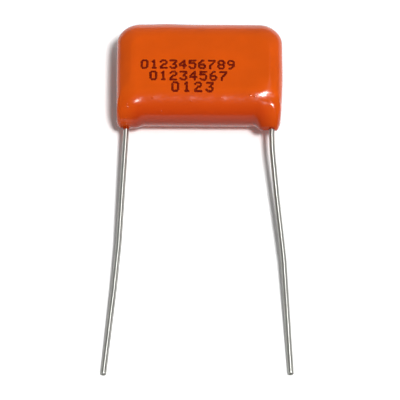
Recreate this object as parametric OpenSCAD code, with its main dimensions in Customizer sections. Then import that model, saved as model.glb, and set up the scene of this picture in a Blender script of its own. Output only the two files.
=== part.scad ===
// Dipped film capacitor with two straight wire leads.
//
// A flat-pressed roll of film and foil has a metal end layer on each end.
// A tinned wire is soldered to each layer and runs out at a lower corner.
// All of it sits in one dipped epoxy coating that follows the wires down
// in two short legs.
//
// The part lies on its back.  +X runs across the body, +Y runs from the
// wires to the crown and +Z points up.  The origin is the middle of the
// flat back.  All lengths are millimetres and all angles degrees.

/* [Coated body] */
// Width across the body, from side to side
body_w = 25.3; // [25.2:0.1:26]
// Height from the edge between the legs to the crown
body_h = 17.9; // [17.6:0.1:18.6]
// Thickness from the flat back to the middle of the front
body_t = 8; // [7.9:0.1:9]
// Width of the rounded border at the sides, from the outline to the flat faces
side_border = 3; // [2.8:0.1:3.2]
// Fullness of that border: 2 gives an ellipse, more gives squarer shoulders
side_full = 2.9; // [2.6:0.1:3.2]
// Width of the rounded border at the crown and the lower edge
rim_border = 4.4; // [4:0.1:4.5]
// Fullness of that border
rim_full = 1.8; // [1.8:0.1:2.2]
// Radius of the two upper corners, on the outline
crown_r = 3.9; // [3.4:0.1:4.2]
// Radius of the two lower corners, on the outline
heel_r = 0.9; // [0.8:0.1:1.4]
// Radius of all four corners, on the flat faces
face_r = 2.2; // [1.8:0.1:2.4]
// How far each side bellies out at mid height
side_belly = 0.1; // [0:0.05:0.3]
// How far the right side is drawn in towards its lower corner
right_tuck = 0.4; // [0:0.05:0.45]
// How far the front domes up in the middle
front_dome = 0.1; // [0.05:0.05:0.2]
// Rise of the soft swelling on the crown
swell_rise = 0.12; // [0:0.02:0.3]
// Distance of the swelling from the centre line
swell_x = -5; // [-6:0.5:6]
// Half width of the swelling
swell_w = 2.6; // [2:0.2:4]
// Fall of the edges from the left side to the right side
edge_fall = 0.14; // [0:0.02:0.2]

/* [Legs] */
// Length of the left leg below the edge between the legs
left_drop = 0.35; // [0.2:0.05:1.4]
// Length of the right leg below the edge between the legs
right_drop = 1.05; // [0.2:0.05:1.4]
// Distance from the centre line at which a leg reaches its full length
leg_full_x = 9.8; // [9.6:0.1:10]
// Width of the slope between the lower edge and a leg
leg_slope_w = 1.5; // [1.2:0.1:1.8]
// Distance from the wire, in height, at which a leg has faded to a third
leg_fade_z = 1.8; // [1.6:0.1:2.4]
// Depth by which the slope over each leg is flattened
apron_in = 0.6; // [0:0.1:0.8]
// Height at which it is flattened most
apron_z = 6.2; // [5.8:0.1:6.6]
// Distance from that height at which the flattening has faded to a third
apron_fade_z = 1.4; // [1.2:0.1:1.6]
// Length of the thin collar of coating round each wire
collar_len = 0.45; // [0.3:0.05:0.6]
// Thickness of the collar where it leaves the leg
collar_root = 0.34; // [0.25:0.01:0.4]
// Thickness of the collar at its tip
collar_lip = 0.07; // [0.05:0.01:0.12]

/* [Walls of the coating] */
// Thickness of coating outside each wire
wire_cover = 1.13; // [1.1:0.01:1.2]
// Thickness of coating in front of the roll and behind it
face_cover = 1; // [0.95:0.05:1.1]
// Thickness of coating above the roll and below it
rim_cover = 1.8; // [1.7:0.1:1.9]

/* [Roll of film and foil] */
// Number of foil edges that stand out on each end
foil_edges = 5; // [3:1:5]
// Thickness of each band of foil edge
foil_w = 0.2; // [0.15:0.01:0.25]
// Distance of the outermost foil edge from the outside of the roll
foil_inset = 0.12; // [0.1:0.01:0.15]
// Distance by which the foil edges stand out from the film
foil_out = 0.28; // [0.2:0.02:0.32]

/* [Metal end layers] */
// Thickness of each end layer, foil edges included
end_t = 0.48; // [0.42:0.02:0.5]

/* [Solder joints] */
// Distance from the end of a joint to the lower edge of the body
joint_stop = 4.3; // [4:0.1:5]
// Half width of the foot of a joint on its end layer
joint_foot = 1.25; // [1:0.05:1.35]
// Height of the foot of a joint
joint_rise = 0.4; // [0.3:0.05:0.5]
// Thickness of solder over a wire
joint_skin = 0.16; // [0.1:0.02:0.2]
// Width of the line, free of solder, along which a wire bears on its end layer
contact_w = 0.3; // [0.2:0.05:0.4]

/* [Wire leads] */
// Distance of the middle of the roll and wires from the centre line
lead_shift = -0.14; // [-0.2:0.02:0.2]
// Diameter of the tinned wire
wire_d = 0.84; // [0.8:0.01:0.86]
// Distance of the left wire behind the middle of the roll
left_sink = 0.85; // [0:0.05:1]
// Distance of the right wire in front of the middle of the roll
right_rise = 0.15; // [0:0.05:0.4]
// Distance from the crown to the inner end of each wire
wire_stop = 3.6; // [3.4:0.1:4]
// Length of straight wire below the tip of each leg
wire_out = 1.2; // [1.2:0.1:1.4]
// Lengths of the three runs of the left wire
left_run = [18.8, 7.6, 14.6]; // [4:0.1:25]
// Outward lean of the three runs of the left wire
left_splay = [2.85, 4.75, 5.75]; // [1:0.05:8]
// Downward lean of the first two runs of the left wire
left_droop = [3.7, 3.5]; // [2:0.1:4]
// Lengths of the four runs of the right wire
right_run = [2.4, 8, 10.6, 19.3]; // [2:0.1:25]
// Outward lean of the four runs of the right wire
right_splay = [1.2, 4.5, 5.2, 2.7]; // [1:0.1:8]
// Downward lean of the first three runs of the right wire
right_droop = [7.5, 7.6, 4.6]; // [3:0.1:8]
// Radius of the first bend of each wire, close below its leg
first_bend_r = 10; // [8:1:12]
// Radius of the other bends, on the wire axis
bend_r = 40; // [30:1:50]
// Loss of radius of the wire inside a bend
bend_thin = 0.006; // [0.004:0.001:0.01]
// Height of the tips above the resting plane
tip_rise = 0.02; // [0:0.01:0.1]
// Width of the small bevel at each cut end
cut_bevel = 0.06; // [0.04:0.01:0.1]

/* [Fit] */
// Clearance between the coating and what it encloses, and round the foil edges
fit_gap = 0.02; // [0.01:0.01:0.04]

/* [Hidden] */
eps = 0.01;
wire_r = wire_d / 2;
half_w = body_w / 2;
half_h = body_h / 2;
half_t = (body_t - front_dome) / 2;

// Distance of each wire axis from the middle of the roll.
wire_x = half_w - wire_cover - wire_r;
left_x = lead_shift - wire_x;
right_x = lead_shift + wire_x;
left_z = half_t - left_sink;
right_z = half_t + right_rise;
// The wires lie on the end layers, and the film ends where these start.
end_x = wire_x - wire_r;
film_x = end_x - end_t;
// The pressed roll is flat between two half rounds.
roll_t = 2 * (half_t - face_cover);
roll_h = 2 * (half_h - rim_cover);
roll_r = roll_t / 2;
roll_flat = roll_h - roll_t;
// The foil edges share the thickness of the roll evenly.
foil_pitch = (roll_r - foil_inset) / foil_edges;
// Wire starts below the crown; its joint starts at the wire's inner end.
wire_top = half_h - wire_stop;
joint_len = wire_top + half_h - joint_stop;
// Radius of the round foot of a joint, from its half width and its height.
foot_r = (joint_foot * joint_foot + joint_rise * joint_rise) / (2 * joint_rise);
// A leg is full at least this far inside the lower corners.
leg_room = 0.3;
// The belly follows a cosine that has turned this far at the crown.
belly_turn = 80;
// Each collar starts this far up inside its leg.
collar_foot = 0.75;
// Each bend laps this far into the straight on either side.
bend_lap = 0.2;

// Sampling of the coating: points round each ring, and rings from back to front.
// The rings crowd towards the rims as they would on a border of mean fullness.
mean_full = (side_full + rim_full) / 2;
corner_steps = 9;
side_steps = 5;
crown_steps = 18;
leg_steps = 7;
span_steps = 12;
border_steps = 28;
dome_steps = 4;

// ---------------------------------------------------------------- helpers
function clamp01(v) = min(max(v, 0), 1);
function smooth(v) = let (t = clamp01(v)) t * t * (3 - 2 * t);
function signed_pow(v, p) = sign(v) * pow(abs(v), p);
function lerp(a, b, t) = a + (b - a) * t;
function unit(v) = v / norm(v);
function flatten(l) = [for (a = l) for (b = a) b];
// n + 1 values from a to b, the last one left out when open is true
function ramp(a, b, n, open = true) =
    [for (i = [0:open ? n - 1 : n]) lerp(a, b, i / n)];

// ------------------------------------------------- surface of the coating
// A bell that is 1 at z_mid and a third at the distance fade.
function bell(z, z_mid, fade) = exp(-pow((z - z_mid) / fade, 2));

// A leg: full length beyond leg_full_x, fading away in height from its wire,
// under a slope that is flattened so that the leg runs out to its tip.
function leg(x, z, x_wire, z_wire, drop) =
    sign(x) != sign(x_wire) ? 0
    : smooth((abs(x) - leg_full_x + leg_slope_w) / leg_slope_w)
      * (drop * bell(z, z_wire, leg_fade_z) - apron_in * bell(z, apron_z, apron_fade_z));

function legs(x, z) = leg(x, z, left_x, left_z, left_drop)
                    + leg(x, z, right_x, right_z, right_drop);

// Corners of a ring set in from the outline by ex at the sides and ey at the
// crown and lower edge, before it is shaped.
function ring_plan(ex, ey) =
    let (k = ey / rim_border,
         w = half_w - ex, h = half_h - ey,
         rc = lerp(crown_r, face_r, k),
         rh = lerp(heel_r, face_r, k),
         arc = ramp(0, 90, corner_steps),
         x_full = min(leg_full_x, w - rh - leg_room),
         x_none = x_full - leg_slope_w)
    concat(
        // right side going up
        [for (y = ramp(rh - h, h - rc, side_steps)) [w, y, 0]],
        [for (a = arc) [w - rc + rc * cos(a), h - rc + rc * sin(a), 0]],
        // crown going left
        [for (x = ramp(w - rc, rc - w, crown_steps)) [x, h, 0]],
        [for (a = arc) [rc - w - rc * sin(a), h - rc + rc * cos(a), 0]],
        // left side going down
        [for (y = ramp(h - rc, rh - h, side_steps)) [-w, y, 0]],
        [for (a = arc) [rh - w - rh * cos(a), rh - h - rh * sin(a), pow(sin(a), 2)]],
        // lower edge going right, over both legs
        [for (x = ramp(rh - w, -x_full, 2)) [x, -h, 1]],
        [for (x = ramp(-x_full, -x_none, leg_steps)) [x, -h, 1]],
        [for (x = ramp(-x_none, x_none, span_steps)) [x, -h, 1]],
        [for (x = ramp(x_none, x_full, leg_steps)) [x, -h, 1]],
        [for (x = ramp(x_full, w - rh, 2)) [x, -h, 1]],
        [for (a = arc) [w - rh + rh * sin(a), rh - h - rh * cos(a), pow(cos(a), 2)]]);

// One point of a ring, bellied, swollen, tilted and drawn down into the legs.
function shaped(p, z) =
    let (x = p[0] * (1 + side_belly / half_w * cos(belly_turn * p[1] / half_h)),
         tuck = right_tuck * clamp01(x / half_w) * pow(clamp01(-p[1] / half_h), 2),
         swell = swell_rise * bell(x, swell_x, swell_w)
                 * clamp01(p[1] / half_h))
    [x - tuck,
     p[1] + swell - edge_fall * x / body_w - p[2] * legs(x, z),
     z];

function ring(ex, ey, z) = [for (p = ring_plan(ex, ey)) shaped(p, z)];

// Inset of a border at height q: 0 is mid thickness and 1 is the flat face.
function inset_at(q, width, full) =
    width * (1 - pow(max(1 - pow(q, full), 0), 1 / full));

// Rings of the border, from the rim of the back to the rim of the front.
function border_ring(a) =
    let (s = signed_pow(sin(a), 2 / mean_full))
    ring(inset_at(abs(s), side_border, side_full),
         inset_at(abs(s), rim_border, rim_full),
         half_t * (1 + s));

// Rings of the front face, shrinking as they climb the dome.
function dome_ring(k) =
    let (s = 1 - k / (dome_steps + 1))
    [for (p = ring(side_border, rim_border, 2 * half_t))
        [p[0] * s, p[1] * s, 2 * half_t + front_dome * (1 - s * s)]];

coat_rings = concat(
    [for (i = [0:border_steps]) border_ring(lerp(-90, 90, i / border_steps))],
    [for (k = [1:dome_steps]) dome_ring(k)]);

module coat_skin() {
    n = len(coat_rings[0]);
    m = len(coat_rings);
    polyhedron(
        points = flatten(coat_rings),
        faces = concat(
            [[for (i = [0:n - 1]) i]],
            [for (j = [0:m - 2]) for (i = [0:n - 1])
                let (a = j * n + i, b = j * n + (i + 1) % n)
                [a, a + n, b]],
            [for (j = [0:m - 2]) for (i = [0:n - 1])
                let (a = j * n + i, b = j * n + (i + 1) % n)
                [b, a + n, b + n]],
            [[for (i = [n - 1:-1:0]) (m - 1) * n + i]]),
        convexity = 4);
}

// Collar of coating that thins out along a wire, as a turned fillet.
module collar(x, z, drop) {
    steps = 6;
    translate([x, collar_foot - half_h - drop, z])
    rotate([90, 0, 0])
    rotate_extrude($fn = 40)
        polygon(concat(
            [[0, 0]],
            [for (i = [0:steps])
                let (t = i / steps)
                [wire_r + collar_lip + (collar_root - collar_lip) * pow(1 - t, 2),
                 (collar_foot + collar_len) * t]],
            [[0, collar_foot + collar_len]]));
}

// ------------------------------------------------------------ wire leads
// Direction of a run: s is the side, a the outward and b the downward lean.
function heading(s, a, b) = [s * sin(a), -cos(a) * cos(b), -cos(a) * sin(b)];

// Corner points of a wire: straight out of the leg, then run after run.
// The last run is aimed so that the tip stops just above the resting plane.
function tip_droop(z, length, a) =
    asin(clamp01((z - wire_r - tip_rise) / (length * cos(a))));

function headings(s, splay, droop, z, run) =
    let (n = len(splay),
         known = [for (i = [0:n - 2]) heading(s, splay[i], droop[i])],
         fall = [for (i = [0:n - 2]) run[i] * known[i][2]] * [for (i = [0:n - 2]) 1],
         last = tip_droop(z + fall, run[n - 1], splay[n - 1]))
    concat([[0, -1, 0]], known, [heading(s, splay[n - 1], last)]);

function corners(start, lengths, dirs, i = 0) =
    i == len(dirs) ? [start]
    : concat([start], corners(start + lengths[i] * dirs[i], lengths, dirs, i + 1));

// Radius of the bend at corner i, and the length it takes from each side of it.
function bend_radius(i) = i == 1 ? first_bend_r : bend_r;
function bend_angle(d, e) = acos(min(d * e, 1));
function setback(dirs, i) = bend_radius(i) * tan(bend_angle(dirs[i - 1], dirs[i]) / 2);

// A straight length of wire, with an optional bevel at its far end.
module rod(from, to, r, bevel = 0) {
    d = to - from;
    l = norm(d);
    translate(from)
    rotate([0, acos(d[2] / l), atan2(d[1], d[0])])
    rotate_extrude($fn = 40)
        polygon(bevel == 0 ? [[0, 0], [r, 0], [r, l], [0, l]]
                : [[0, 0], [r, 0], [r, l - bevel], [r - bevel, l], [0, l]]);
}

// The bend at corner i.  Wire thins a little where it is bent, and each bend
// laps into the straight on either side.
module bend(pts, dirs, i, r) {
    d = dirs[i - 1];
    e = dirs[i];
    big_r = bend_radius(i);
    toward = unit(e - (d * e) * d);
    centre = pts[i] - setback(dirs, i) * d + big_r * toward;
    axis = cross(-toward, d);
    lap = bend_lap / big_r * 180 / PI;
    multmatrix([[-toward[0], d[0], axis[0], centre[0]],
                [-toward[1], d[1], axis[1], centre[1]],
                [-toward[2], d[2], axis[2], centre[2]]])
    rotate([0, 0, -lap])
    rotate_extrude(angle = bend_angle(d, e) + 2 * lap, $fn = 90)
    translate([big_r, 0])
        circle(r = r - bend_thin, $fn = 40);
}

module wire(pts, dirs, r) {
    n = len(dirs);
    for (i = [0:n - 1]) {
        back = i == 0 ? 0 : setback(dirs, i);
        ahead = i == n - 1 ? 0 : setback(dirs, i + 1);
        rod(pts[i] + back * dirs[i], pts[i + 1] - ahead * dirs[i], r,
            i == n - 1 ? cut_bevel : 0);
    }
    for (i = [1:n - 1])
        bend(pts, dirs, i, r);
}

function wire_start(x, z) = [x, wire_top, z];
function wire_first(drop) = wire_top + half_h + drop + wire_out;

left_dirs = headings(-1, left_splay, left_droop, left_z, left_run);
left_pts = corners(wire_start(left_x, left_z),
                   concat([wire_first(left_drop)], left_run), left_dirs);
right_dirs = headings(1, right_splay, right_droop, right_z, right_run);
right_pts = corners(wire_start(right_x, right_z),
                    concat([wire_first(right_drop)], right_run), right_dirs);

module left_wire() {
    wire(left_pts, left_dirs, wire_r);
}

module right_wire() {
    wire(right_pts, right_dirs, wire_r);
}

// --------------------------------------------------- roll and end layers
// Outline of the pressed roll, drawn in by inset: flats between two half rounds.
module stadium(inset) {
    union() {
        square([roll_t - 2 * inset, roll_flat], center = true);
        for (s = [-1, 1])
            translate([0, s * roll_flat / 2])
                circle(r = roll_r - inset, $fn = 72);
    }
}

// A slab of the roll outline between two distances along the axis.
module slab(x0, x1, inset = 0) {
    translate([lead_shift + x0, 0, half_t])
    rotate([0, 90, 0])
    linear_extrude(x1 - x0)
        stadium(inset);
}

// Foil edges on the +X end, with room around them when gap is above zero.
module foil_ridges(gap) {
    for (i = [0:foil_edges - 1]) {
        inset = foil_inset + i * foil_pitch;
        difference() {
            slab(film_x - eps, film_x + foil_out + gap, inset - gap);
            slab(film_x - 2 * eps, film_x + foil_out + gap + eps, inset + foil_w + gap);
        }
    }
}

module mirror_end(s) {
    translate([lead_shift, 0, 0])
    mirror([s < 0 ? 1 : 0, 0, 0])
    translate([-lead_shift, 0, 0])
        children();
}

module end_layer(s) {
    mirror_end(s)
    difference() {
        slab(film_x, end_x);
        foil_ridges(fit_gap);
    }
}

// --------------------------------------------------------- solder joints
// A skin over the wire and a low round foot on the end layer, grown by grow.
module joint_form(z, grow) {
    mid_y = wire_top - joint_len / 2;
    translate([lead_shift, mid_y, z])
    rotate([90, 0, 0]) {
        translate([wire_x, 0, 0])
            cylinder(h = joint_len + 2 * grow, r = wire_r + joint_skin + grow,
                     center = true, $fn = 40);
        translate([end_x + joint_rise - foot_r, 0, 0])
            cylinder(h = joint_len - 2 * joint_skin + 2 * grow, r = foot_r + grow,
                     center = true, $fn = 96);
    }
}

// Bore for a wire inside the coating or a joint, r across its axis.
module wire_bore(x, z, r) {
    translate([x, wire_top + fit_gap, z])
    rotate([90, 0, 0])
        cylinder(h = body_h, r = r, $fn = 40);
}

module joint(s, z) {
    mirror_end(s)
    difference() {
        joint_form(z, 0);
        // nothing behind the face of the end layer
        translate([lead_shift + end_x - body_w, -half_h, 0])
            cube([body_w, body_h, body_t]);
        wire_bore(lead_shift + wire_x, z, wire_r);
        // nothing between the wire and the end layer where they bear
        translate([lead_shift + end_x - eps, -half_h, z - contact_w / 2])
            cube([wire_r / 2, body_h, contact_w]);
    }
}

// ------------------------------------------------------------------ nodes
module coating() {
    color([0.84, 0.33, 0.05])
    difference() {
        union() {
            coat_skin();
            collar(left_x, left_z, left_drop);
            collar(right_x, right_z, right_drop);
        }
        // room for the roll and its end layers
        slab(-end_x - fit_gap, end_x + fit_gap, -fit_gap);
        // room for the wires and the solder over them
        wire_bore(left_x, left_z, wire_r + fit_gap);
        wire_bore(right_x, right_z, wire_r + fit_gap);
        mirror_end(-1)
            joint_form(left_z, fit_gap);
        joint_form(right_z, fit_gap);
    }
}

module winding() {
    color([0.86, 0.84, 0.78])
    union() {
        slab(-film_x, film_x);
        foil_ridges(0);
        mirror_end(-1)
            foil_ridges(0);
    }
}

module end_layer_left() {
    color([0.62, 0.63, 0.65])
        end_layer(-1);
}

module end_layer_right() {
    color([0.62, 0.63, 0.65])
        end_layer(1);
}

module solder_left() {
    color([0.72, 0.72, 0.74])
        joint(-1, left_z);
}

module solder_right() {
    color([0.72, 0.72, 0.74])
        joint(1, right_z);
}

module lead_left() {
    color([0.78, 0.79, 0.8])
        left_wire();
}

module lead_right() {
    color([0.78, 0.79, 0.8])
        right_wire();
}

coating();
winding();
end_layer_left();
end_layer_right();
solder_left();
solder_right();
lead_left();
lead_right();
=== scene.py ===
import math

import bpy
import numpy as np
from bpy.props import (FloatProperty, FloatVectorProperty,
                       PointerProperty, StringProperty)
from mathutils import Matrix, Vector


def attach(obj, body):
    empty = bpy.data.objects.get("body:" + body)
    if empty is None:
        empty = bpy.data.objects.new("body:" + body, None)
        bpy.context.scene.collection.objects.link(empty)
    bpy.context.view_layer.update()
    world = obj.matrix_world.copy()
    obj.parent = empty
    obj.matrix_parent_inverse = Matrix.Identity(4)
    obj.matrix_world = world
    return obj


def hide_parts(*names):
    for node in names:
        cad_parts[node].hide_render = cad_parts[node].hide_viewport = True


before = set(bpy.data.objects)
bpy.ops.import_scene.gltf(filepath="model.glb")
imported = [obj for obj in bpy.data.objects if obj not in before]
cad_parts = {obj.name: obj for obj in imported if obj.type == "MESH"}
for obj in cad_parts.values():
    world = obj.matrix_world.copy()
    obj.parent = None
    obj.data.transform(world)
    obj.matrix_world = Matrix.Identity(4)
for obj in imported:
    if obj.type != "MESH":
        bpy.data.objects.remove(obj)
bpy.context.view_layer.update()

bl_info = {
    "name": "Dipped Film Capacitor",
    "version": (1, 0, 0),
    "blender": (4, 5, 0),
    "location": "View3D > Sidebar > Capacitor",
    "description": "Dresses a dipped film capacitor with its coating, wires and print",
    "category": "Add Mesh",
}

BODY = "root"
MM = 0.001


# ---------------------------------------------------------------- settings
def length_prop(name, description, millimetres):
    """A length that the user can change, given here in millimetres."""
    return FloatProperty(name=name, description=description, default=millimetres * MM,
                         subtype="DISTANCE", unit="LENGTH")


def lengths_prop(name, description, millimetres):
    """Several lengths that belong together, given here in millimetres."""
    return FloatVectorProperty(name=name, description=description, size=len(millimetres),
                               default=[v * MM for v in millimetres], unit="LENGTH")


def number_prop(name, description, value):
    """A plain number that the user can change."""
    return FloatProperty(name=name, description=description, default=value)


def numbers_prop(name, description, values):
    """Several plain numbers that belong together."""
    return FloatVectorProperty(name=name, description=description, size=len(values),
                               default=values)


def colour_prop(name, description, value):
    """A linear colour from 0 to 1."""
    return FloatVectorProperty(name=name, description=description, size=3, default=value,
                               min=0.0, max=1.0, subtype="COLOR")


class CoatingSettings(bpy.types.PropertyGroup):
    """Sizes of the dipped coating.

    They repeat the sizes of the solid model, apart from the borders of the
    two sides, the heel and face radii and the ripple: the skin has narrower,
    squarer shoulders at its sides than the solid has.
    """

    width: length_prop("Width", "Width across the body", 25.3)
    height: length_prop("Height", "From the edge between the legs to the crown", 17.9)
    thickness: length_prop("Thickness", "From the flat back to the middle of the front", 8.0)
    side_border: length_prop("Side Border", "Width of the rounded border at the right side", 2.1)
    side_full: number_prop("Side Fullness", "How upright the wall of the right side stands", 5.0)
    side_slope: number_prop("Side Slope", "1 makes the right border a straight slope, 2 a round one", 1.4)
    left_border: length_prop("Left Border", "Width of the sloping border at the left side", 2.2)
    left_full: number_prop("Left Fullness", "How upright the wall of the left side stands", 6.0)
    left_slope: number_prop("Left Slope", "1 makes the left border a straight slope, 2 a round one", 1.05)
    rim_border: length_prop("Rim Border", "Width of the rounded border at crown and lower edge", 4.4)
    rim_full: number_prop("Rim Fullness", "Fullness of the border at crown and lower edge", 1.8)
    crown_radius: length_prop("Crown Radius", "Radius of the upper corners on the outline", 3.9)
    heel_radius: length_prop("Heel Radius", "Radius of the lower corners on the outline", 0.6)
    face_radius: length_prop("Face Radius", "Radius of the corners of the flat faces", 2.4)
    belly: length_prop("Belly", "How far each side bellies out at mid height", 0.1)
    right_tuck: length_prop("Right Tuck", "How far the right side is drawn in to its lower corner", 0.4)
    dome: length_prop("Dome", "How far the front domes up in the middle", 0.1)
    swell_rise: length_prop("Swelling", "Rise of the soft swelling on the crown", 0.12)
    swell_x: length_prop("Swelling Place", "Distance of the swelling from the centre line", -5.0)
    swell_width: length_prop("Swelling Width", "Half width of the swelling", 2.6)
    edge_fall: length_prop("Edge Fall", "Fall of the edges from the left to the right side", 0.14)
    ripple: length_prop("Ripple", "Depth of the slow waves that dipping leaves", 0.012)


class LegSettings(bpy.types.PropertyGroup):
    """Sizes of the legs of coating that follow the wires down.

    They repeat the sizes of the solid model, apart from the rise and the
    collar, which is shorter and thinner.  The solid is also flattened over
    each leg, and the skin isn't.
    """

    left_drop: length_prop("Left Drop", "Length of the left leg below the lower edge", 0.35)
    right_drop: length_prop("Right Drop", "Length of the right leg below the lower edge", 1.05)
    full_x: length_prop("Full From", "Distance from the centre line where a leg is full", 9.8)
    slope: length_prop("Slope", "Width of the slope between lower edge and leg", 1.5)
    fade: length_prop("Fade", "Distance in height at which a leg has faded to a third", 1.8)
    rise: length_prop("Rise", "How far the lower edge is drawn up between the legs", 0.15)
    collar: length_prop("Collar", "Length of the thin collar round each wire", 0.22)


class LeadSettings(bpy.types.PropertyGroup):
    """Sizes and bends of the two tinned wires."""

    diameter: length_prop("Diameter", "Diameter of the tinned wire", 0.84)
    left_start: FloatVectorProperty(
        name="Left Start", description="Inner end of the left wire",
        default=(-11.24 * MM, 5.35 * MM, 3.1 * MM), subtype="TRANSLATION", unit="LENGTH")
    right_start: FloatVectorProperty(
        name="Right Start", description="Inner end of the right wire",
        default=(10.96 * MM, 5.35 * MM, 4.1 * MM), subtype="TRANSLATION", unit="LENGTH")
    stop_below: length_prop("Straight Below Leg", "Straight wire below the tip of each leg", 1.2)
    left_run: lengths_prop("Left Runs", "Lengths of the runs of the left wire", (18.8, 7.6, 14.6))
    left_splay: numbers_prop("Left Splay", "Outward lean of the runs of the left wire, degrees",
        (2.85, 4.75, 5.75))
    left_droop: numbers_prop("Left Droop", "Downward lean of its first runs, degrees", (3.7, 3.5))
    right_run: lengths_prop("Right Runs", "Lengths of the runs of the right wire", (2.4, 8.0, 10.6, 19.3))
    right_splay: numbers_prop("Right Splay", "Outward lean of the runs of the right wire, degrees",
        (1.2, 4.5, 5.2, 2.7))
    right_droop: numbers_prop("Right Droop", "Downward lean of its first runs, degrees", (7.5, 7.6, 4.6))
    first_bend: length_prop("First Bend", "Radius of the bend close below each leg", 10.0)
    bend: length_prop("Other Bends", "Radius of the other bends", 40.0)
    tip_rise: length_prop("Tip Rise", "Height of the tips above the resting plane", 0.02)
    bevel: length_prop("Bevel", "Width of the small bevel at each cut end", 0.06)
    pit: length_prop("Pit", "Depth of the pit left in each cut end", 0.14)


class PrintSettings(bpy.types.PropertyGroup):
    """The three rows of printed dots; the figures are plain counting figures."""

    row_1: StringProperty(
        name="Row 1", description="Figures of the first row", default="0123456789")
    row_2: StringProperty(
        name="Row 2", description="Figures of the second row", default="01234567")
    row_3: StringProperty(
        name="Row 3", description="Figures of the third row", default="0123")
    dot: length_prop("Dot", "Diameter of one dot", 0.4)
    relief: length_prop("Relief", "Height of a dot above the coating", 0.006)


class ColourSettings(bpy.types.PropertyGroup):
    """Colours of the parts, with the colours of painted shade on the coating and on the wires."""

    epoxy: colour_prop("Epoxy", "Colour of the dipped coating", (0.655, 0.083, 0.0015))
    # Painted shade: the lower edge of the coating is darkened, and under that edge it is darker still.
    epoxy_low_painted_shade: colour_prop("Lower Painted Shade", "Colour of the coating along its lower edge",
        (0.46, 0.040, 0.001))
    epoxy_under_painted_shade: colour_prop("Under Painted Shade", "Colour of the coating under its lower edge",
        (0.27, 0.023, 0.001))
    ink: colour_prop("Ink", "Colour of the printed dots", (0.14, 0.001, 0.0003))
    tin: colour_prop("Tin", "Colour of the tinned wires", (0.78, 0.78, 0.73))
    # Painted shade for the flanks and the cut ends of the wires.
    painted_tin_shade: colour_prop("Painted Tin Shade", "Colour of the painted shade on the wires", (0.17, 0.175, 0.155))


class StageSettings(bpy.types.PropertyGroup):
    """Camera, floor and lamps."""

    elevation: FloatProperty(
        name="Elevation", description="Height of the camera above the horizon",
        default=math.radians(57.0), subtype="ANGLE", unit="ROTATION")
    distance: FloatProperty(
        name="Distance", description="Distance from the camera to its aim",
        default=0.7, subtype="DISTANCE", unit="LENGTH")
    aim: lengths_prop("Aim", "Place on the floor that the camera aims at", (0.05, -20.2))
    lens: number_prop("Focal Length", "Focal length on a 36 mm sensor, in millimetres", 415.0)
    lamp_from: numbers_prop("Lamp Direction", "Direction from the part to the lamp", (0.25, -0.43, 1.0))
    lamp_spread: FloatProperty(
        name="Lamp Spread", description="Angle that the lamp covers",
        default=math.radians(11.0), subtype="ANGLE", unit="ROTATION")
    lamp_strength: number_prop("Lamp Strength", "Strength of the lamp", 2.77)
    room: number_prop("Room", "Brightness of the room all round", 0.15)
    backdrop: number_prop("Backdrop", "Brightness of the backdrop behind the part", 0.15)
    tube: number_prop("Tube", "Brightness of the long light over the right side", 1.6)
    tube_end: number_prop("Tube End", "How much brighter the long light is beside the lamp", 7.0)


# ------------------------------------------------------------------ meshes
def link(obj):
    """The object, put into the scene."""
    bpy.context.scene.collection.objects.link(obj)
    return obj


def smoothstep(t):
    """0 below 0, 1 above 1 and the curve 3t^2 - 2t^3 between."""
    t = np.clip(t, 0.0, 1.0)
    return t * t * (3.0 - 2.0 * t)


def grid_faces(rows, cols):
    """Quads of a grid that is closed round its columns, as an (n, 4) array of vertex numbers."""
    j, i = np.meshgrid(np.arange(rows - 1), np.arange(cols), indexing="ij")
    a = j * cols + i
    b = j * cols + (i + 1) % cols
    return np.stack([a, b, b + cols, a + cols], axis=-1).reshape(-1, 4)


def cap_faces(ring_start, cols, pole, outward_last):
    """Triangles that close one ring onto a pole vertex."""
    i = np.arange(cols)
    a = ring_start + i
    b = ring_start + (i + 1) % cols
    c = np.full(cols, pole)
    order = (a, b, c) if outward_last else (b, a, c)
    return np.stack(order, axis=-1)


def build_mesh(name, points, quads, tris, smooth=True):
    """A mesh object from arrays of points, quads and triangles."""
    mesh = bpy.data.meshes.new(name)
    loops = np.concatenate([quads.ravel(), tris.ravel()]).astype(np.int32)
    starts = np.concatenate([np.arange(len(quads)) * 4,
                             len(quads) * 4 + np.arange(len(tris)) * 3]).astype(np.int32)
    mesh.vertices.add(len(points))
    mesh.vertices.foreach_set("co", points.astype(np.float32).ravel())
    mesh.loops.add(len(loops))
    mesh.loops.foreach_set("vertex_index", loops)
    mesh.polygons.add(len(starts))
    mesh.polygons.foreach_set("loop_start", starts)
    mesh.polygons.foreach_set("use_smooth", np.full(len(starts), smooth))
    mesh.update(calc_edges=True)
    mesh.validate()
    return link(bpy.data.objects.new(name, mesh))


def closed_surface(name, grid, first_pole, last_pole):
    """A mesh from a grid of rings, closed by a pole at its first and its last ring."""
    rows, cols = grid.shape[:2]
    points = np.concatenate([grid.reshape(-1, 3), [first_pole, last_pole]])
    tris = np.concatenate([
        cap_faces(0, cols, rows * cols, False),
        cap_faces((rows - 1) * cols, cols, rows * cols + 1, True)])
    return build_mesh(name, points, grid_faces(rows, cols), tris)


# ----------------------------------------------------------------- coating
# Samples round each ring: sides, corners, crown and lower edge.
SIDE_SAMPLES = 54
CORNER_SAMPLES = 30
CROWN_SAMPLES = 88
HEEL_SAMPLES = 132
BORDER_RINGS = 84
FACE_RINGS = 30
BACK_RINGS = 6
# The lower edge's samples crowd towards the legs, and the rings towards mid thickness.
HEEL_CROWDING = 0.11
RING_CROWDING = 0.8
# The belly follows a cosine that has turned this far at the crown.
BELLY_TURN = math.radians(80)
# The rise between the legs: its height as a share of the thickness, its fade in fades of a leg.
RISE_PLACE = 0.45
RISE_FADE = 1.3
# The ripple grows from nothing on the flat back to its full depth at this height.
RIPPLE_GROW = 0.6 * MM


def open_ramp(a, b, count):
    """Evenly spaced values from a up to, but not including, b."""
    return np.linspace(a, b, count, endpoint=False)


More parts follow.
